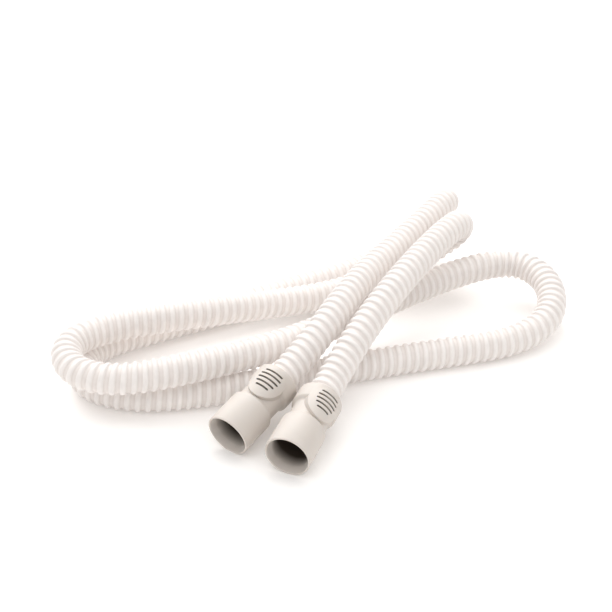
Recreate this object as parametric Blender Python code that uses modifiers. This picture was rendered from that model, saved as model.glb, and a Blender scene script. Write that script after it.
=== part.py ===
"""Breathing hose with a cuff on each end, lying in loose loops on a table.

The frame stands on the table, with its origin under the middle of the hose. X runs along the longest way
across the loops, and the two cuffs point towards -Y. All sizes are in metres.
"""

import math

import bmesh
import bpy
import numpy as np
from mathutils import Matrix, Vector

# Hose
HOSE_DIAMETER = 0.019
HOSE_WALL = 0.002
HOSE_COLOUR = (0.86, 0.83, 0.80, 1.0)
STRAIGHT_STEP = 0.048
TURN_STEP = math.radians(19)

# Cuff, measured along its axis from the mouth
CUFF_LENGTH = 0.050
MOUTH_DIAMETER = 0.027
MOUTH_LENGTH = 0.026
SHOULDER_LENGTH = 0.0038
NECK_DIAMETER = 0.023
COLLAR_DIAMETER = 0.027
COLLAR_LENGTH = 0.0145
COLLAR_SLOPE = 0.003
BORE_DIAMETER = 0.0222
BORE_DEPTH = 0.021
LEAD_IN_DIAMETER = 0.0244
LEAD_IN_DEPTH = 0.004
AIRWAY_DIAMETER = 0.015
SEAT_DEPTH = 0.013
FIT = 0.0003
EDGE = 0.0005
REAR_EDGE = 0.0024
CUFF_COLOUR = (0.80, 0.77, 0.73, 1.0)

# Thumb pad on the cuff
PAD_LENGTH = 0.0185
PAD_WIDTH = 0.0175
PAD_HEIGHT = 0.0015
PAD_FRONT = 0.0242
PAD_SQUARENESS = 2.3
GROOVE_COUNT = 5
GROOVE_WIDTH = 0.0010
GROOVE_DEPTH = 0.0005
GROOVE_MARGIN = 0.0025

# Where each cuff lies: the middle of its rear face on the table plan, the heading of its axis from its mouth
# (clockwise from +Y), the rise of its axis, and the turn of its pad about that axis
CUFF_LEFT_PLACE = (-0.0243, -0.0738)
CUFF_LEFT_HEADING = math.radians(36.6)
CUFF_LEFT_RISE = math.radians(12.9)
CUFF_LEFT_ROLL = math.radians(15)
CUFF_RIGHT_PLACE = (-0.0003, -0.0871)
CUFF_RIGHT_HEADING = math.radians(22.8)
CUFF_RIGHT_RISE = math.radians(8.3)
CUFF_RIGHT_ROLL = math.radians(34)

# The route of the hose from the left cuff to the right one, chosen by hand
ROUTE = (
    # up over the others to the far end, and down round its turn
    (0.002, -0.036, 0.0375),
    (0.026, 0.011, 0.0435),
    (0.059, 0.068, 0.0440),
    (0.083, 0.109, 0.0450),
    (0.088, 0.122, 0.0415),
    (0.085, 0.130, 0.0315),
    (0.074, 0.126, 0.0215),
    # along the table at the back and round the lower loop on the left
    (0.038, 0.092, 0.0105),
    (-0.010, 0.060, 0.0095),
    (-0.065, 0.028, 0.0095),
    (-0.120, -0.002, 0.0095),
    (-0.144, -0.026, 0.0095),
    (-0.141, -0.052, 0.0095),
    (-0.117, -0.067, 0.0095),
    (-0.075, -0.065, 0.0095),
    # along the table at the front and up round the loop on the right
    (0.057, -0.027, 0.0095),
    (0.118, -0.009, 0.0100),
    (0.144, 0.011, 0.0140),
    (0.150, 0.042, 0.0195),
    (0.138, 0.064, 0.0220),
    (0.110, 0.064, 0.0230),
    # back across the middle and round the upper loop on the left
    (0.016, -0.0035, 0.0228),
    (-0.034, -0.0427, 0.0267),
    (-0.078, -0.0688, 0.0294),
    (-0.120, -0.080, 0.0293),
    (-0.145, -0.068, 0.0290),
    (-0.150, -0.045, 0.0293),
    (-0.129, -0.024, 0.0290),
    (-0.080, -0.005, 0.0275),
    # down to the table under the first run, up round the second far turn, and home to the right cuff
    (-0.032, 0.023, 0.0180),
    (0.015, 0.050, 0.0120),
    (0.059, 0.076, 0.0185),
    (0.082, 0.088, 0.0265),
    (0.092, 0.086, 0.0370),
    (0.093, 0.077, 0.0475),
    (0.079, 0.052, 0.0515),
    (0.046, -0.004, 0.0465),
    (0.019, -0.049, 0.0330),
)


def new_material(name, colour, roughness):
    material = bpy.data.materials.new(name)
    material.use_nodes = True
    shader = material.node_tree.nodes["Principled BSDF"]
    shader.inputs["Base Color"].default_value = colour
    shader.inputs["Roughness"].default_value = roughness
    shader.inputs["Metallic"].default_value = 0.0
    return material


def new_object(name, mesh, collection):
    piece = bpy.data.objects.new(name, mesh)
    collection.objects.link(piece)
    return piece


def add_cutter(name, mesh, collection):
    cutter = new_object(name, mesh, collection)
    cutter.hide_render = True
    cutter.display_type = 'WIRE'
    return cutter


def add_boolean(piece, cutter, operation):
    modifier = piece.modifiers.new(cutter.name, 'BOOLEAN')
    modifier.operation = operation
    modifier.solver = 'EXACT'
    modifier.object = cutter


def turned_mesh(name, profile, steps):
    """A closed outline of (radius, height) points, turned about Z; it runs down its outer side."""
    mesh = bpy.data.meshes.new(name)
    shape = bmesh.new()
    corners = [shape.verts.new((radius, 0.0, height)) for radius, height in profile]
    edges = [shape.edges.new((corners[i - 1], corners[i])) for i in range(len(corners))]
    bmesh.ops.spin(
        shape, geom=corners + edges, cent=(0, 0, 0), axis=(0, 0, 1),
        angle=2 * math.pi, steps=steps, use_merge=True)
    bmesh.ops.recalc_face_normals(shape, faces=shape.faces)
    shape.to_mesh(mesh)
    shape.free()
    return mesh


def oval_mesh(name, length, width, centre, low, high):
    """A rounded-oval bar that stands on the cuff's side, from radius low to radius high along +X."""
    mesh = bpy.data.meshes.new(name)
    shape = bmesh.new()
    bmesh.ops.create_cone(
        shape, cap_ends=True, segments=40, radius1=1.0, radius2=1.0, depth=high - low)
    for vert in shape.verts:
        side = math.copysign(abs(vert.co.x) ** (2 / PAD_SQUARENESS), vert.co.x)
        along = math.copysign(abs(vert.co.y) ** (2 / PAD_SQUARENESS), vert.co.y)
        vert.co = ((low + high) / 2 + vert.co.z, side * width / 2, centre + along * length / 2)
    bmesh.ops.recalc_face_normals(shape, faces=shape.faces)
    shape.to_mesh(mesh)
    shape.free()
    return mesh


def cuff_profile():
    """The cuff's section, from the outer corner of its rear face down to the mouth and back up its inside."""
    mouth = MOUTH_DIAMETER / 2
    neck = NECK_DIAMETER / 2
    collar = COLLAR_DIAMETER / 2
    collar_front = CUFF_LENGTH - COLLAR_LENGTH
    lead_in = LEAD_IN_DIAMETER / 2
    bore = BORE_DIAMETER / 2
    airway = AIRWAY_DIAMETER / 2
    socket = HOSE_DIAMETER / 2 + FIT
    seat = CUFF_LENGTH - SEAT_DEPTH - FIT
    outside = []
    for turn in range(5):
        angle = math.radians(90 - turn * 22.5)
        outside.append((
            collar - REAR_EDGE + REAR_EDGE * math.cos(angle),
            CUFF_LENGTH - REAR_EDGE + REAR_EDGE * math.sin(angle)))
    for step in range(6):
        swell = 0.5 + 0.5 * math.cos(math.pi * step / 5)
        outside.append((neck + (collar - neck) * swell, collar_front + COLLAR_SLOPE * (1 - step / 5)))
    for step in range(6):
        swell = 0.5 - 0.5 * math.cos(math.pi * step / 5)
        outside.append((neck + (mouth - neck) * swell, MOUTH_LENGTH - SHOULDER_LENGTH * step / 5))
    outside += [(mouth, EDGE), (mouth - EDGE, 0.0)]
    inside = [
        (lead_in, 0.0), (bore, LEAD_IN_DEPTH),
        (bore, BORE_DEPTH), (airway, BORE_DEPTH + (bore - airway) / 2), (airway, seat),
        (socket, seat), (socket, CUFF_LENGTH)]
    return outside + inside


def cuff_frame(place, heading, rise, roll):
    """The cuff's place: Z along its axis from the mouth, X through its pad, the mouth's rim on the table."""
    axis = Vector((
        math.sin(heading) * math.cos(rise), math.cos(heading) * math.cos(rise), math.sin(rise)))
    height = MOUTH_DIAMETER / 2 * math.cos(rise) + (CUFF_LENGTH - EDGE) * math.sin(rise)
    rear = Vector((place[0], place[1], height))
    up = (Vector((0, 0, 1)) - axis * axis.z).normalized()
    side = axis.cross(up)
    across = up * math.cos(roll) + side * math.sin(roll)
    turn = Matrix((across, axis.cross(across), axis)).transposed().to_4x4()
    return Matrix.Translation(rear - axis * CUFF_LENGTH) @ turn


def add_cuff(name, frame, material, parts, cutters):
    """A moulded cuff: a turned body with an oval thumb pad across its neck, grooved for grip."""
    pad_top = COLLAR_DIAMETER / 2 + PAD_HEIGHT
    pad_root = max(NECK_DIAMETER / 2, HOSE_DIAMETER / 2 + FIT + 2 * EDGE) - EDGE
    pad_reach = pad_top + 2 * PAD_HEIGHT
    pad_centre = PAD_FRONT + PAD_LENGTH / 2
    bite = CUFF_LENGTH

    cuff = new_object(name, turned_mesh(name, cuff_profile(), 56), parts)
    pad = add_cutter(name + "_pad", oval_mesh(
        name + "_pad", PAD_LENGTH, PAD_WIDTH, pad_centre, pad_root / 2, pad_reach), cutters)
    dome = add_cutter(name + "_dome", turned_mesh(name + "_dome", [
        (pad_top, pad_centre + bite), (pad_top, pad_centre - bite),
        (pad_root, pad_centre - bite), (pad_root, pad_centre + bite)], 112), cutters)
    add_boolean(pad, dome, 'INTERSECT')
    add_boolean(cuff, pad, 'UNION')

    reach = PAD_LENGTH / 2 - GROOVE_MARGIN
    pitch = 2 * reach / GROOVE_COUNT
    for number in range(GROOVE_COUNT):
        middle = pad_centre - reach + pitch * (number + 0.5)
        label = f"{name}_groove_{number + 1}"
        groove = add_cutter(label, oval_mesh(
            label, PAD_LENGTH - 2 * GROOVE_MARGIN, PAD_WIDTH - 2 * GROOVE_MARGIN,
            pad_centre, pad_root, pad_reach), cutters)
        ring = add_cutter(label + "_ring", turned_mesh(label + "_ring", [
            (pad_top + PAD_HEIGHT, middle + GROOVE_WIDTH / 2),
            (pad_top + PAD_HEIGHT, middle - GROOVE_WIDTH / 2),
            (pad_top - GROOVE_DEPTH, middle - GROOVE_WIDTH / 2),
            (pad_top - GROOVE_DEPTH, middle + GROOVE_WIDTH / 2)], 112), cutters)
        add_boolean(groove, ring, 'INTERSECT')
        add_boolean(cuff, groove, 'DIFFERENCE')
        for cutter in (groove, ring):
            cutter.matrix_world = frame

    for piece in (cuff, pad, dome):
        piece.matrix_world = frame
    cuff.data.materials.append(material)
    cuff.data.shade_smooth()
    cuff.data.set_sharp_from_angle(angle=math.radians(35))
    return cuff


def smooth_curve(points, start_direction, end_direction):
    """A cubic curve through the points that starts and ends along the given directions."""
    points = np.array(points)
    gaps = np.diff(points, axis=0)
    spans = np.linalg.norm(gaps, axis=1) ** 0.5
    slopes = gaps / spans[:, None]
    count = len(points)
    system = np.zeros((count, count))
    target = np.zeros((count, 3))
    system[0, 0] = 1.0
    system[-1, -1] = 1.0
    target[0] = np.array(start_direction) * np.linalg.norm(slopes[0])
    target[-1] = np.array(end_direction) * np.linalg.norm(slopes[-1])
    for i in range(1, count - 1):
        system[i, i - 1] = 1 / spans[i - 1]
        system[i, i] = 2 / spans[i - 1] + 2 / spans[i]
        system[i, i + 1] = 1 / spans[i]
        target[i] = 3 * (slopes[i - 1] / spans[i - 1] + slopes[i] / spans[i])
    tangents = np.linalg.solve(system, target)

    curve = []
    for i in range(count - 1):
        t = np.linspace(0, 1, 40, endpoint=False)[:, None]
        curve.append(
            (2 * t**3 - 3 * t**2 + 1) * points[i] + (t**3 - 2 * t**2 + t) * spans[i] * tangents[i]
            + (3 * t**2 - 2 * t**3) * points[i + 1] + (t**3 - t**2) * spans[i] * tangents[i + 1])
    curve.append(points[-1:])
    return np.vstack(curve)


def thin_out(curve):
    """Points along the curve, further apart where it is straight and closer where it turns."""
    steps = np.diff(curve, axis=0)
    lengths = np.linalg.norm(steps, axis=1)
    directions = steps / lengths[:, None]
    bends = np.einsum('ij,ij->i', directions[1:], directions[:-1])
    turns = np.append(np.arccos(np.clip(bends, -1, 1)), 0.0)
    travel = np.append(0.0, np.cumsum(lengths / STRAIGHT_STEP + turns / TURN_STEP))
    marks = np.linspace(0, travel[-1], math.ceil(travel[-1]) + 1)
    return np.column_stack([np.interp(marks, travel, curve[:, axis]) for axis in range(3)])


def add_hose(left_frame, right_frame, material, parts):
    """The hose: a hollow tube on the route, with each end seated in the socket of its cuff."""
    rear = Vector((0, 0, CUFF_LENGTH))
    seat = Vector((0, 0, CUFF_LENGTH - SEAT_DEPTH))
    left_axis = left_frame.to_3x3() @ Vector((0, 0, 1))
    right_axis = right_frame.to_3x3() @ Vector((0, 0, 1))
    curve = smooth_curve(
        [left_frame @ rear, *ROUTE, right_frame @ rear], left_axis, -right_axis)
    points = [left_frame @ seat, *thin_out(curve), right_frame @ seat]

    path = bpy.data.curves.new("hose_path", 'CURVE')
    path.dimensions = '3D'
    path.bevel_depth = HOSE_DIAMETER / 2
    path.bevel_resolution = 4
    path.use_fill_caps = False
    run = path.splines.new('POLY')
    run.points.add(len(points) - 1)
    for point, place in zip(run.points, points):
        point.co = (*place, 1.0)
    guide = new_object("hose_path", path, parts)
    bpy.context.view_layer.update()
    mesh = bpy.data.meshes.new_from_object(guide.evaluated_get(bpy.context.evaluated_depsgraph_get()))
    mesh.name = "hose"
    hose = new_object("hose", mesh, parts)
    hose.matrix_world = guide.matrix_world
    bpy.data.objects.remove(guide)

    wall = hose.modifiers.new("wall", 'SOLIDIFY')
    wall.thickness = HOSE_WALL
    wall.offset = -1.0
    wall.use_even_offset = True
    mesh.materials.clear()
    mesh.materials.append(material)
    mesh.shade_smooth()
    return hose


for old in list(bpy.data.objects):
    bpy.data.objects.remove(old)

hose_parts = bpy.data.collections.new("cpap_hose")
hose_cutters = bpy.data.collections.new("cutters")
bpy.context.scene.collection.children.link(hose_parts)
bpy.context.scene.collection.children.link(hose_cutters)

left = cuff_frame(CUFF_LEFT_PLACE, CUFF_LEFT_HEADING, CUFF_LEFT_RISE, CUFF_LEFT_ROLL)
right = cuff_frame(CUFF_RIGHT_PLACE, CUFF_RIGHT_HEADING, CUFF_RIGHT_RISE, CUFF_RIGHT_ROLL)
add_cuff("cuff_left", left, new_material("cuff_left", CUFF_COLOUR, 0.45), hose_parts, hose_cutters)
add_cuff("cuff_right", right, new_material("cuff_right", CUFF_COLOUR, 0.45), hose_parts, hose_cutters)
add_hose(left, right, new_material("hose", HOSE_COLOUR, 0.4), hose_parts)
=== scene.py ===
# The looks of a slim breathing hose that lies in loose loops on a white table.
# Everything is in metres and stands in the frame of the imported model, with +Z up.
import math

import bmesh
import bpy
import numpy as np
from mathutils import Matrix, Vector


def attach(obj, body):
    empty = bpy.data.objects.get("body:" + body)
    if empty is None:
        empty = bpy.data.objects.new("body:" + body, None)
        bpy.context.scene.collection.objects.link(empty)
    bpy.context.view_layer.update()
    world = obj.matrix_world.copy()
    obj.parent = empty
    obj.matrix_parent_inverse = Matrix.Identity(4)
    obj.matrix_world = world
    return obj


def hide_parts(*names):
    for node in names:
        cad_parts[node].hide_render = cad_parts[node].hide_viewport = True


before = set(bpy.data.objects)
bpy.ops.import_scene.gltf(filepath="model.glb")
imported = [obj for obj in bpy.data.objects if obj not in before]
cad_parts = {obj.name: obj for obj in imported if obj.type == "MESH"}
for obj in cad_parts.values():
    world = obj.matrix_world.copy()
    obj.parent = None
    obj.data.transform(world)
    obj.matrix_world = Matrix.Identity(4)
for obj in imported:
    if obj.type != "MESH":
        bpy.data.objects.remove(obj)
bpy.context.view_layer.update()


# Camera
# It stands in front of the open ends of the cuffs and looks down on the hose at 31 degrees.
CAMERA_PLACE = (-0.009, -0.750, 0.481)
CAMERA_TILT = math.radians(59)
CAMERA_LENS = 82.35
CAMERA_SENSOR = 36.0
NEAREST_SEEN = 0.02
FARTHEST_SEEN = 20.0

camera_data = bpy.data.cameras.new("camera")
camera_data.lens = CAMERA_LENS
camera_data.sensor_width = CAMERA_SENSOR
camera_data.clip_start = NEAREST_SEEN
camera_data.clip_end = FARTHEST_SEEN
camera = bpy.data.objects.new("camera", camera_data)
camera.location = CAMERA_PLACE
camera.rotation_euler = (CAMERA_TILT, 0.0, 0.0)
bpy.context.scene.collection.objects.link(camera)
bpy.context.scene.camera = camera


# Cuff places
# Each cuff is a soft moulded sleeve that lies on the table with its mouth to the front.
# Its place is the middle of its rear face, where the hose enters, and its axis runs from mouth to rear.
CUFF_LENGTH = 0.050
CUFF_SEAT = 0.013
MOUTH_RADIUS = 0.0135
CUFF_EDGE = 0.0005
CUFFS = {
    "cuff_left": {"place": (-0.0243, -0.0738), "heading": 36.6, "rise": 12.9, "roll": 15.0},
    "cuff_right": {"place": (-0.0003, -0.0871), "heading": 22.8, "rise": 8.3, "roll": 41.0},
}


def cuff_axis(cuff):
    heading = math.radians(cuff["heading"])
    rise = math.radians(cuff["rise"])
    return Vector((
        math.sin(heading) * math.cos(rise), math.cos(heading) * math.cos(rise), math.sin(rise)))


def cuff_rear(cuff):
    rise = math.radians(cuff["rise"])
    height = MOUTH_RADIUS * math.cos(rise) + (CUFF_LENGTH - CUFF_EDGE) * math.sin(rise)
    return Vector((*cuff["place"], height))


# Hose
# One long tube of thin milky film with a flat-topped bead wound along it in a single spiral.
# It is extruded and wound in one go, so the bead and the film are the same soft plastic.
# The film has a small even painted glow of its own, standing in for the light that comes through it from
# behind.
HOSE_DIAMETER = 0.019
HOSE_BORE = 0.015
RIB_PITCH = 0.00565
ROUND_STEPS = 28
BORE_STEPS = 14
CURVE_STEP = 0.0005
SPAN_STEPS = 40
# the film's colour is partly its own darker tone and partly painted shade in the grooves between the
# beads
FILM_AND_GROOVE_SHADE_COLOUR = (0.645, 0.59, 0.555, 1.0)
BEAD_COLOUR = (0.735, 0.695, 0.67, 1.0)
PAINTED_GLOW_COLOUR = (1.0, 0.94, 0.90, 1.0)
ROUTE = (
    # up over the others to the far end, and down round its turn
    (0.002, -0.036, 0.0375),
    (0.026, 0.011, 0.0435),
    (0.059, 0.068, 0.0440),
    (0.083, 0.109, 0.0450),
    (0.088, 0.122, 0.0415),
    (0.085, 0.130, 0.0315),
    (0.074, 0.126, 0.0215),
    # along the table at the back and round the lower loop on the left
    (0.038, 0.092, 0.0105),
    (-0.010, 0.060, 0.0095),
    (-0.065, 0.028, 0.0095),
    (-0.120, -0.002, 0.0095),
    (-0.144, -0.026, 0.0095),
    (-0.141, -0.052, 0.0095),
    (-0.117, -0.067, 0.0095),
    (-0.075, -0.065, 0.0095),
    # along the table at the front and up round the loop on the right
    (0.057, -0.027, 0.0095),
    (0.118, -0.009, 0.0100),
    (0.144, 0.011, 0.0140),
    (0.150, 0.042, 0.0195),
    (0.138, 0.064, 0.0220),
    (0.110, 0.064, 0.0230),
    # back across the middle and round the upper loop on the left
    (0.016, -0.0035, 0.0228),
    (-0.034, -0.0443, 0.0264),
    (-0.078, -0.0688, 0.0294),
    (-0.120, -0.080, 0.0293),
    (-0.145, -0.068, 0.0290),
    (-0.150, -0.045, 0.0293),
    (-0.129, -0.024, 0.0290),
    (-0.080, -0.005, 0.0275),
    # down to the table under the first run, up round the second far turn, and home to the right cuff
    (-0.032, 0.023, 0.0180),
    (0.015, 0.050, 0.0120),
    (0.059, 0.076, 0.0185),
    (0.082, 0.088, 0.0265),
    (0.092, 0.086, 0.0370),
    (0.093, 0.077, 0.0475),
    (0.079, 0.052, 0.0515),
    (0.046, -0.004, 0.0465),
    (0.019, -0.049, 0.0330),
)
# one turn of the spiral: share of the turn, depth under the crest in metres, share of the bead's colour
# (the rest is the darker film colour, partly the film's own tone and partly painted shade in the grooves)
RIB_SECTION = (
    (0.00, 0.00070, 1.0),
    (0.04, 0.00028, 1.0),
    (0.13, 0.00005, 1.0),
    (0.24, 0.00000, 1.0),
    (0.35, 0.00005, 1.0),
    (0.44, 0.00028, 1.0),
    (0.48, 0.00070, 1.0),
    # the feet of the bead take none of the bead's colour, which paints a line of shade at the foot of
    # each bead; the middle of the film takes a little
    (0.53, 0.00122, 0.0),
    (0.74, 0.00116, 0.3),
    (0.95, 0.00122, 0.0),
)


def smooth_curve(points, start_direction, end_direction):
    """A cubic curve through the points that starts and ends along the given directions."""
    points = np.array(points)
    gaps = np.diff(points, axis=0)
    spans = np.linalg.norm(gaps, axis=1) ** 0.5
    slopes = gaps / spans[:, None]
    count = len(points)
    system = np.zeros((count, count))
    target = np.zeros((count, 3))
    system[0, 0] = 1.0
    system[-1, -1] = 1.0
    target[0] = np.array(start_direction) * np.linalg.norm(slopes[0])
    target[-1] = np.array(end_direction) * np.linalg.norm(slopes[-1])
    for i in range(1, count - 1):
        system[i, i - 1] = 1 / spans[i - 1]
        system[i, i] = 2 / spans[i - 1] + 2 / spans[i]
        system[i, i + 1] = 1 / spans[i]
        target[i] = 3 * (slopes[i - 1] / spans[i - 1] + slopes[i] / spans[i])
    tangents = np.linalg.solve(system, target)

    curve = []
    for i in range(count - 1):
        t = np.linspace(0, 1, SPAN_STEPS, endpoint=False)[:, None]
        curve.append(
            (2 * t**3 - 3 * t**2 + 1) * points[i] + (t**3 - 2 * t**2 + t) * spans[i] * tangents[i]
            + (3 * t**2 - 2 * t**3) * points[i + 1] + (t**3 - t**2) * spans[i] * tangents[i + 1])
    curve.append(points[-1:])
    return np.vstack(curve)


def even_steps(curve, step):
    """The same curve in steps of equal length, and the length at each."""
    lengths = np.append(0.0, np.cumsum(np.linalg.norm(np.diff(curve, axis=0), axis=1)))
    marks = np.linspace(0, lengths[-1], round(lengths[-1] / step) + 1)
    return np.column_stack([np.interp(marks, lengths, curve[:, axis]) for axis in range(3)]), marks


def carried_frames(points):
    """Two directions across the curve at each point, carried along it without any twist."""
    along = np.gradient(points, axis=0)
    along /= np.linalg.norm(along, axis=1)[:, None]
    first = np.cross(along[0], (0.0, 0.0, 1.0))
    first /= np.linalg.norm(first)
    sides = [first]
    for direction in along[1:]:
        side = sides[-1] - direction * np.dot(sides[-1], direction)
        sides.append(side / np.linalg.norm(side))
    sides = np.array(sides)
    return sides, np.cross(along, sides)


left_axis = np.array(cuff_axis(CUFFS["cuff_left"]))
right_axis = np.array(cuff_axis(CUFFS["cuff_right"]))
left_rear = np.array(cuff_rear(CUFFS["cuff_left"]))
right_rear = np.array(cuff_rear(CUFFS["cuff_right"]))
# the curve runs two turns past each end of the hose, so that the wound skin can be cut square there
spare = CUFF_SEAT + 2 * RIB_PITCH
free_run = smooth_curve([left_rear, *ROUTE, right_rear], left_axis, -right_axis)
centreline, marks = even_steps(
    np.vstack([left_rear - left_axis * spare, free_run, right_rear - right_axis * spare]), CURVE_STEP)
# the lowest runs lie on the table and never sink into it
centreline[:, 2] = np.maximum(centreline[:, 2], HOSE_DIAMETER / 2)
sides, overs = carried_frames(centreline)
hose_start = 2 * RIB_PITCH
hose_end = marks[-1] - 2 * RIB_PITCH
hose_length = hose_end - hose_start


def wrapped_tube(section, steps, radius):
    """Corners and faces of a tube wound as a spiral, its section repeated once a turn."""
    turns = int(marks[-1] / RIB_PITCH) - 1
    share = np.array([row[0] for row in section])
    depth = np.array([row[1] for row in section])
    bead = np.array([row[2] for row in section])
    rows = len(section) * turns
    phase = (np.arange(turns)[:, None] + share[None, :]).ravel()
    column = np.arange(steps)
    places = (phase[:, None] + column[None, :] / steps) * RIB_PITCH
    reach = radius - np.tile(depth, turns)[:, None]
    angle = (column * -2 * math.pi / steps)[None, :]
    corners = np.zeros((rows, steps, 3))
    for axis in range(3):
        middle = np.interp(places, marks, centreline[:, axis])
        side = np.interp(places, marks, sides[:, axis])
        over = np.interp(places, marks, overs[:, axis])
        corners[:, :, axis] = middle + reach * (np.cos(angle) * side + np.sin(angle) * over)
    faces = []
    for row in range(rows - 1):
        for here in range(steps - 1):
            corner = row * steps + here
            faces.append((corner, corner + 1, corner + steps + 1, corner + steps))
        over_row = row + len(section)
        if over_row + 1 < rows:
            corner = row * steps + steps - 1
            faces.append((corner, over_row * steps, (over_row + 1) * steps, corner + steps))
    return corners.reshape(-1, 3), faces, np.repeat(np.tile(bead, turns), steps), places.ravel()


def plain_tube(steps, radius, spacing):
    """Corners and faces of a smooth tube between the hose's two ends."""
    rows = round(hose_length / spacing) + 1
    places = np.linspace(hose_start, hose_end, rows)[:, None]
    angle = (np.arange(steps) * 2 * math.pi / steps)[None, :]
    corners = np.zeros((rows, steps, 3))
    for axis in range(3):
        middle = np.interp(places, marks, centreline[:, axis])
        side = np.interp(places, marks, sides[:, axis])
        over = np.interp(places, marks, overs[:, axis])
        corners[:, :, axis] = middle + radius * (np.cos(angle) * side + np.sin(angle) * over)
    faces = []
    for row in range(rows - 1):
        for here in range(steps):
            after = (here + 1) % steps
            faces.append((
                row * steps + here, (row + 1) * steps + here,
                (row + 1) * steps + after, row * steps + after))
    return corners.reshape(-1, 3), faces


skin_corners, skin_faces, skin_bead_and_groove_shade, skin_places = wrapped_tube(
    RIB_SECTION, ROUND_STEPS, HOSE_DIAMETER / 2)
wall_corners, wall_faces = plain_tube(BORE_STEPS, HOSE_BORE / 2, RIB_PITCH)
hose_mesh = bpy.data.meshes.new("hose_ribbed")
hose_mesh.from_pydata(
    np.vstack([skin_corners, wall_corners]).tolist(), [],
    skin_faces + [tuple(corner + len(skin_corners) for corner in face) for face in wall_faces])
bead_and_groove_shade_share = hose_mesh.attributes.new("bead", 'FLOAT', 'POINT')
bead_and_groove_shade_share.data.foreach_set(
    "value", np.append(skin_bead_and_groove_shade, np.zeros(len(wall_corners))).astype(np.float32))

# both ends are cut square, and the outer skin is closed onto the bore there
shape = bmesh.new()
shape.from_mesh(hose_mesh)
shape.verts.ensure_lookup_table()
margin = 1.2 * RIB_PITCH
first_corners = [shape.verts[i] for i in np.flatnonzero(skin_places < hose_start + margin)]
last_corners = [shape.verts[i] for i in np.flatnonzero(skin_places > hose_end - margin)]
for end, outward, near in (
        (hose_start, -left_axis, first_corners), (hose_end, -right_axis, last_corners)):
    middle = Vector([np.interp(end, marks, centreline[:, axis]) for axis in range(3)])
    near_faces = {face for corner in near for face in corner.link_faces}
    near_edges = {edge for face in near_faces for edge in face.edges}
    near_corners = {corner for face in near_faces for corner in face.verts}
    bmesh.ops.bisect_plane(
        shape, geom=[*near_corners, *near_edges, *near_faces], dist=1e-6,
        plane_co=middle, plane_no=Vector(outward), clear_outer=True)
    rim = [
        edge for edge in shape.edges
        if edge.is_boundary and (edge.verts[0].co - middle).length < HOSE_DIAMETER]
    bmesh.ops.bridge_loops(shape, edges=rim)
bmesh.ops.recalc_face_normals(shape, faces=shape.faces)
shape.to_mesh(hose_mesh)
shape.free()
hose = bpy.data.objects.new("hose_ribbed", hose_mesh)
bpy.context.scene.collection.objects.link(hose)

hose_material = bpy.data.materials.new("milky_film")
hose_material.use_nodes = True
nodes = hose_material.node_tree.nodes
links = hose_material.node_tree.links
shader = nodes["Principled BSDF"]
shader.inputs["Roughness"].default_value = 0.5
shader.inputs["Specular IOR Level"].default_value = 0.3
# painted glow: the film gives off a little light of its own, in place of light shining through it
shader.inputs["Emission Color"].default_value = PAINTED_GLOW_COLOUR
shader.inputs["Emission Strength"].default_value = 0.12
share = nodes.new("ShaderNodeAttribute")
share.attribute_name = "bead"
# the film's darker colour is partly its own tone and partly painted shade in the grooves between the
# beads
mix = nodes.new("ShaderNodeMix")
mix.data_type = 'RGBA'
mix.inputs["A"].default_value = FILM_AND_GROOVE_SHADE_COLOUR
mix.inputs["B"].default_value = BEAD_COLOUR
links.new(share.outputs["Fac"], mix.inputs["Factor"])
# the film is a little thicker here and thinner there, and its skin has a fine grain
place = nodes.new("ShaderNodeTexCoord")
cloud = nodes.new("ShaderNodeTexNoise")
cloud.inputs["Scale"].default_value = 160.0
cloud.inputs["Detail"].default_value = 4.0
links.new(place.outputs["Object"], cloud.inputs["Vector"])
milk = nodes.new("ShaderNodeMapRange")
milk.inputs["From Min"].default_value = 0.3
milk.inputs["From Max"].default_value = 0.7
milk.inputs["To Min"].default_value = 0.95
milk.inputs["To Max"].default_value = 1.04
links.new(cloud.outputs["Fac"], milk.inputs["Value"])
mottled = nodes.new("ShaderNodeVectorMath")
mottled.operation = 'SCALE'
links.new(mix.outputs["Result"], mottled.inputs[0])
links.new(milk.outputs["Result"], mottled.inputs["Scale"])
links.new(mottled.outputs["Vector"], shader.inputs["Base Color"])
grain = nodes.new("ShaderNodeTexNoise")
grain.inputs["Scale"].default_value = 1500.0
grain.inputs["Detail"].default_value = 3.0
links.new(place.outputs["Object"], grain.inputs["Vector"])
bump = nodes.new("ShaderNodeBump")
bump.inputs["Strength"].default_value = 0.15
bump.inputs["Distance"].default_value = 0.0002
links.new(grain.outputs["Fac"], bump.inputs["Height"])
links.new(bump.outputs["Normal"], shader.inputs["Normal"])
hose_mesh.materials.append(hose_material)
hose_mesh.shade_smooth()

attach(hose, "root")
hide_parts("hose")


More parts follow.
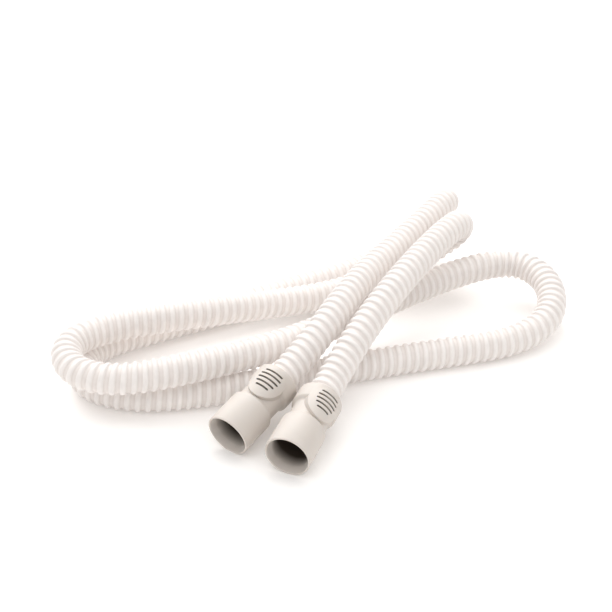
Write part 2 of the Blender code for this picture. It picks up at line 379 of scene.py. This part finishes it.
# Cuffs
# Push-on sleeves in warm grey moulded rubber, each with an oval thumb pad across its neck.
# Each is one moulding: a turned body, the pad standing on its neck and five grip slots sunk in the pad.
CUFF_RINGS = (
    # over the rear face and the collar
    (0.0500, 0.01110),
    (0.0498, 0.01200),
    (0.0493, 0.01280),
    (0.0485, 0.01332),
    (0.0476, 0.01350),
    (0.0385, 0.01350),
    (0.0379, 0.01331),
    (0.0373, 0.01281),
    (0.0367, 0.01219),
    (0.0361, 0.01169),
    (0.0355, 0.01150),
    # along the neck and up the shoulder
    (0.0260, 0.01150),
    (0.0252, 0.01169),
    (0.0245, 0.01219),
    (0.0237, 0.01281),
    (0.0230, 0.01331),
    (0.0222, 0.01350),
    # down to the rim
    (0.0007, 0.01350),
    (0.0002, 0.01336),
    (0.0000, 0.01308),
    (0.0000, 0.01262),
    (0.0002, 0.01240),
    (0.0007, 0.01222),
    # into the lead-in, the bore, the airway and the socket of the hose
    (0.0040, 0.01118),
    (0.0046, 0.01110),
    (0.0080, 0.01110),
    (0.0120, 0.01110),
    (0.0160, 0.01110),
    (0.0206, 0.01110),
    (0.0214, 0.01082),
    (0.0243, 0.00780),
    (0.0250, 0.00750),
    (0.0367, 0.00750),
    (0.0367, 0.00980),
)
CUFF_STEPS = 96
SOCKET_RADIUS = 0.0098
BORE_RADIUS = 0.0113
BORE_END = 0.026
PAD_WIDTH = 0.0200
PAD_WIDEST = 0.0373
PAD_FRONT = 0.0247
PAD_REAR = 0.0472
PAD_ROOT = 0.0110
PAD_REACH = 0.0200
PAD_EDGE = 0.0004
PAD_STEPS = 72
CROWN_RADIUS = 0.0120
CROWN_HALF_LENGTH = 0.030
CROWN_RISE = 0.0029
CROWN_MIDDLE = 0.0380
SLOT_WIDTH = 0.0013
SLOT_DEPTH = 0.0012
SLOT_PITCH = 0.0030
SLOT_HALVES = (0.0043, 0.0060, 0.0067, 0.0067, 0.0059)
CUFF_DULL = (0.608, 0.553, 0.504, 1.0)
CUFF_LIGHT = (0.650, 0.595, 0.546, 1.0)
# painted shade for the deep bore and the grip slots, which lie in shade
PAINTED_RECESS_SHADE = (0.050, 0.034, 0.024, 1.0)


def apply_boolean(piece, cutter, operation):
    modifier = piece.modifiers.new("cut", 'BOOLEAN')
    modifier.operation = operation
    modifier.solver = 'EXACT'
    modifier.object = cutter
    bpy.ops.object.select_all(action='DESELECT')
    bpy.context.view_layer.objects.active = piece
    piece.select_set(True)
    bpy.ops.object.modifier_apply(modifier="cut")
    bpy.data.objects.remove(cutter)


def cuff_body():
    """The turned body, drawn out ring by ring from the socket's edge and closed onto itself."""
    bpy.ops.mesh.primitive_circle_add(
        vertices=CUFF_STEPS, radius=SOCKET_RADIUS, location=(0, 0, CUFF_LENGTH))
    body = bpy.context.object
    bpy.ops.object.transform_apply(location=True)
    bpy.ops.object.mode_set(mode='EDIT')
    bpy.ops.mesh.select_all(action='SELECT')
    height = CUFF_LENGTH
    radius = SOCKET_RADIUS
    for next_height, next_radius in CUFF_RINGS:
        bpy.ops.mesh.extrude_region_move(
            TRANSFORM_OT_translate={"value": (0, 0, next_height - height)})
        scale = next_radius / radius
        bpy.ops.transform.resize(value=(scale, scale, 1), center_override=(0, 0, next_height))
        height = next_height
        radius = next_radius
    bpy.ops.mesh.select_all(action='DESELECT')
    bpy.ops.mesh.select_non_manifold()
    bpy.ops.mesh.bridge_edge_loops()
    bpy.ops.mesh.select_all(action='SELECT')
    bpy.ops.mesh.normals_make_consistent(inside=False)
    bpy.ops.object.mode_set(mode='OBJECT')
    return body


def pad_dome(shrink):
    """A long ball whose side is the pad's crown, or lies the given depth under it."""
    bpy.ops.mesh.primitive_uv_sphere_add(segments=128, ring_count=64, radius=1.0)
    dome = bpy.context.object
    dome.scale = (CROWN_RADIUS - shrink, CROWN_RADIUS - shrink, CROWN_HALF_LENGTH - shrink)
    dome.location = (CROWN_RISE, 0, CROWN_MIDDLE)
    bpy.ops.object.transform_apply(location=True, scale=True)
    return dome


def cuff_pad():
    """The pad: an egg-shaped bar cut off by its domed crown above and by the neck's core below."""
    bpy.ops.mesh.primitive_cylinder_add(
        vertices=PAD_STEPS, radius=0.5, depth=1.0, rotation=(0, math.pi / 2, 0))
    pad = bpy.context.object
    bpy.ops.object.transform_apply(rotation=True)
    pad.scale = (0.7 * PAD_REACH, PAD_WIDTH, 2 * (PAD_REAR - PAD_WIDEST))
    pad.location = (0.65 * PAD_REACH, 0, PAD_WIDEST)
    bpy.ops.object.transform_apply(location=True, scale=True)
    bpy.ops.object.mode_set(mode='EDIT')
    bpy.ops.mesh.select_all(action='DESELECT')
    bpy.ops.object.mode_set(mode='OBJECT')
    for corner in pad.data.vertices:
        corner.select = corner.co.z < PAD_WIDEST - 0.0001
    bpy.ops.object.mode_set(mode='EDIT')
    bpy.ops.transform.resize(
        value=(1, 1, (PAD_WIDEST - PAD_FRONT) / (PAD_REAR - PAD_WIDEST)),
        center_override=(0, 0, PAD_WIDEST))
    bpy.ops.object.mode_set(mode='OBJECT')
    apply_boolean(pad, pad_dome(0.0), 'INTERSECT')
    bpy.ops.mesh.primitive_cylinder_add(
        vertices=CUFF_STEPS, radius=PAD_ROOT, depth=1.2 * CUFF_LENGTH, location=(0, 0, 0.6 * CUFF_LENGTH))
    apply_boolean(pad, bpy.context.object, 'DIFFERENCE')
    edge = pad.modifiers.new("edge", 'BEVEL')
    edge.width = PAD_EDGE
    edge.segments = 3
    edge.limit_method = 'ANGLE'
    edge.angle_limit = math.radians(40)
    bpy.context.view_layer.objects.active = pad
    bpy.ops.object.modifier_apply(modifier="edge")
    return pad


def pad_slots():
    """The cutter for the grip slots: five round-ended bars with their undersides domed like the pad."""
    bars = []
    for number, half in enumerate(SLOT_HALVES):
        bpy.ops.mesh.primitive_cube_add(size=1.0)
        bar = bpy.context.object
        bar.scale = (0.5 * PAD_REACH, 2 * half, SLOT_WIDTH)
        bar.location = (0.75 * PAD_REACH, 0, PAD_WIDEST + (number - 2) * SLOT_PITCH)
        bpy.ops.object.transform_apply(location=True, scale=True)
        bpy.ops.object.mode_set(mode='EDIT')
        bpy.ops.mesh.select_all(action='DESELECT')
        bpy.ops.object.mode_set(mode='OBJECT')
        for edge in bar.data.edges:
            start, end = [bar.data.vertices[corner].co for corner in edge.vertices]
            edge.select = abs(start.x - end.x) > 0.25 * PAD_REACH
        bpy.ops.object.mode_set(mode='EDIT')
        bpy.ops.mesh.select_mode(type='EDGE')
        bpy.ops.mesh.bevel(offset=0.48 * SLOT_WIDTH, segments=4)
        bpy.ops.object.mode_set(mode='OBJECT')
        bars.append(bar)
    bpy.ops.object.select_all(action='DESELECT')
    for bar in bars:
        bar.select_set(True)
    bpy.context.view_layer.objects.active = bars[0]
    bpy.ops.object.join()
    apply_boolean(bars[0], pad_dome(SLOT_DEPTH), 'DIFFERENCE')
    return bars[0]


cuff_material = bpy.data.materials.new("cuff_rubber")
cuff_material.use_nodes = True
nodes = cuff_material.node_tree.nodes
links = cuff_material.node_tree.links
shader = nodes["Principled BSDF"]
shader.inputs["Roughness"].default_value = 0.48
shader.inputs["Subsurface Weight"].default_value = 0.15
shader.inputs["Subsurface Radius"].default_value = (1.0, 0.75, 0.55)
shader.inputs["Subsurface Scale"].default_value = 0.0015
place = nodes.new("ShaderNodeTexCoord")
cloud = nodes.new("ShaderNodeTexNoise")
cloud.inputs["Scale"].default_value = 90.0
cloud.inputs["Detail"].default_value = 3.0
links.new(place.outputs["Object"], cloud.inputs["Vector"])
tint = nodes.new("ShaderNodeMix")
tint.data_type = 'RGBA'
tint.inputs["A"].default_value = CUFF_DULL
tint.inputs["B"].default_value = CUFF_LIGHT
links.new(cloud.outputs["Fac"], tint.inputs["Factor"])
# painted shade: the inside attribute darkens the bore with depth and the slots' bottoms, where these
# recesses lie in shade
depth = nodes.new("ShaderNodeAttribute")
depth.attribute_name = "inside"
dark = nodes.new("ShaderNodeMix")
dark.data_type = 'RGBA'
dark.inputs["B"].default_value = PAINTED_RECESS_SHADE
links.new(depth.outputs["Fac"], dark.inputs["Factor"])
links.new(tint.outputs["Result"], dark.inputs["A"])
links.new(dark.outputs["Result"], shader.inputs["Base Color"])
grain = nodes.new("ShaderNodeTexNoise")
grain.inputs["Scale"].default_value = 2600.0
grain.inputs["Detail"].default_value = 2.0
links.new(place.outputs["Object"], grain.inputs["Vector"])
bump = nodes.new("ShaderNodeBump")
bump.inputs["Strength"].default_value = 0.12
bump.inputs["Distance"].default_value = 0.0002
links.new(grain.outputs["Fac"], bump.inputs["Height"])
links.new(bump.outputs["Normal"], shader.inputs["Normal"])


def paint_bore_and_slot_shade(body):
    """Painted shade at each corner: the bore is painted darker with depth, and the slots' bottoms are
    painted dark all over, as shade falls in these recesses.
    """
    lead_in_end = 0.0046
    fade = 0.0075
    first_slot = PAD_WIDEST - 2.3 * SLOT_PITCH
    last_slot = PAD_WIDEST + 2.3 * SLOT_PITCH
    slot_reach = 0.0072
    slot_floor = 0.0115
    under_crown = 0.90
    slot_painted_shade = 0.8
    inside = body.data.attributes.new("inside", 'FLOAT', 'POINT')
    for corner in body.data.vertices:
        x, y, z = corner.co
        crown = math.hypot(x - CROWN_RISE, y) ** 2 / CROWN_RADIUS ** 2
        crown += (z - CROWN_MIDDLE) ** 2 / CROWN_HALF_LENGTH ** 2
        by_slots = x > slot_floor and abs(y) < slot_reach and first_slot < z < last_slot
        if math.hypot(x, y) < BORE_RADIUS and z < BORE_END:
            inside.data[corner.index].value = min(max((z - lead_in_end) / fade, 0.0), 1.0)
        elif crown < under_crown and by_slots:
            inside.data[corner.index].value = slot_painted_shade


for name, cuff in CUFFS.items():
    body = cuff_body()
    apply_boolean(body, cuff_pad(), 'UNION')
    apply_boolean(body, pad_slots(), 'DIFFERENCE')
    paint_bore_and_slot_shade(body)
    axis = cuff_axis(cuff)
    up = (Vector((0, 0, 1)) - axis * axis.z).normalized()
    roll = math.radians(cuff["roll"])
    across = up * math.cos(roll) + axis.cross(up) * math.sin(roll)
    turn = Matrix((across, axis.cross(across), axis)).transposed().to_4x4()
    body.data.transform(Matrix.Translation(cuff_rear(cuff) - axis * CUFF_LENGTH) @ turn)
    body.name = name + "_moulding"
    body.data.name = name + "_moulding"
    body.data.materials.clear()
    body.data.materials.append(cuff_material)
    bpy.ops.object.select_all(action='DESELECT')
    body.select_set(True)
    bpy.context.view_layer.objects.active = body
    bpy.ops.object.shade_smooth_by_angle(angle=math.radians(30))
    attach(body, "root")
    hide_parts(name)


# Floor
# A plain white table top that runs far past the view.
# It gives a little light of its own, as the bright table in the photograph seems to.
TABLE_SIZE = 60.0
TABLE_COLOUR = (0.925, 0.908, 0.892, 1.0)
TABLE_GLOW = (1.0, 0.98, 0.96, 1.0)

bpy.ops.mesh.primitive_plane_add(size=TABLE_SIZE, location=(0.0, 0.0, 0.0))
floor = bpy.context.object
floor.name = "floor"
floor_material = bpy.data.materials.new("white_table")
floor_material.use_nodes = True
shader = floor_material.node_tree.nodes["Principled BSDF"]
shader.inputs["Base Color"].default_value = TABLE_COLOUR
shader.inputs["Roughness"].default_value = 0.7
shader.inputs["Specular IOR Level"].default_value = 0.2
shader.inputs["Emission Color"].default_value = TABLE_GLOW
shader.inputs["Emission Strength"].default_value = 0.12
floor.data.materials.append(floor_material)


# Light
# A white studio that is brighter overhead, with two soft boxes behind the hose, one of them to the left.
OVERHEAD_GLOW = 1.75
LOW_GLOW = 0.28

world = bpy.data.worlds.new("surround")
world.use_nodes = True
nodes = world.node_tree.nodes
links = world.node_tree.links
direction = nodes.new("ShaderNodeTexCoord")
height = nodes.new("ShaderNodeSeparateXYZ")
links.new(direction.outputs["Generated"], height.inputs["Vector"])
glow = nodes.new("ShaderNodeMapRange")
glow.inputs["From Min"].default_value = 0.2
glow.inputs["From Max"].default_value = 1.0
glow.inputs["To Min"].default_value = LOW_GLOW
glow.inputs["To Max"].default_value = OVERHEAD_GLOW
links.new(height.outputs["Z"], glow.inputs["Value"])
links.new(glow.outputs["Result"], nodes["Background"].inputs["Strength"])
nodes["Background"].inputs["Color"].default_value = (1.0, 1.0, 1.0, 1.0)
bpy.context.scene.world = world


def soft_box(name, place, aim, size, energy):
    lamp_data = bpy.data.lights.new(name, 'AREA')
    lamp_data.shape = 'SQUARE'
    lamp_data.size = size
    lamp_data.energy = energy
    lamp = bpy.data.objects.new(name, lamp_data)
    lamp.location = place
    lamp.rotation_euler = (Vector(aim) - Vector(place)).to_track_quat('-Z', 'Y').to_euler()
    bpy.context.scene.collection.objects.link(lamp)


soft_box("back_left", place=(-0.8, 0.9, 0.9), aim=(0.0, 0.0, 0.0), size=0.8, energy=7.0)
soft_box("behind", place=(0.0, 1.2, 1.0), aim=(0.0, 0.0, 0.0), size=0.6, energy=7.5)

view = bpy.context.scene.view_settings
view.view_transform = 'Standard'
view.look = 'None'
view.exposure = 0.0
view.gamma = 1.0


bpy.context.view_layer.update()
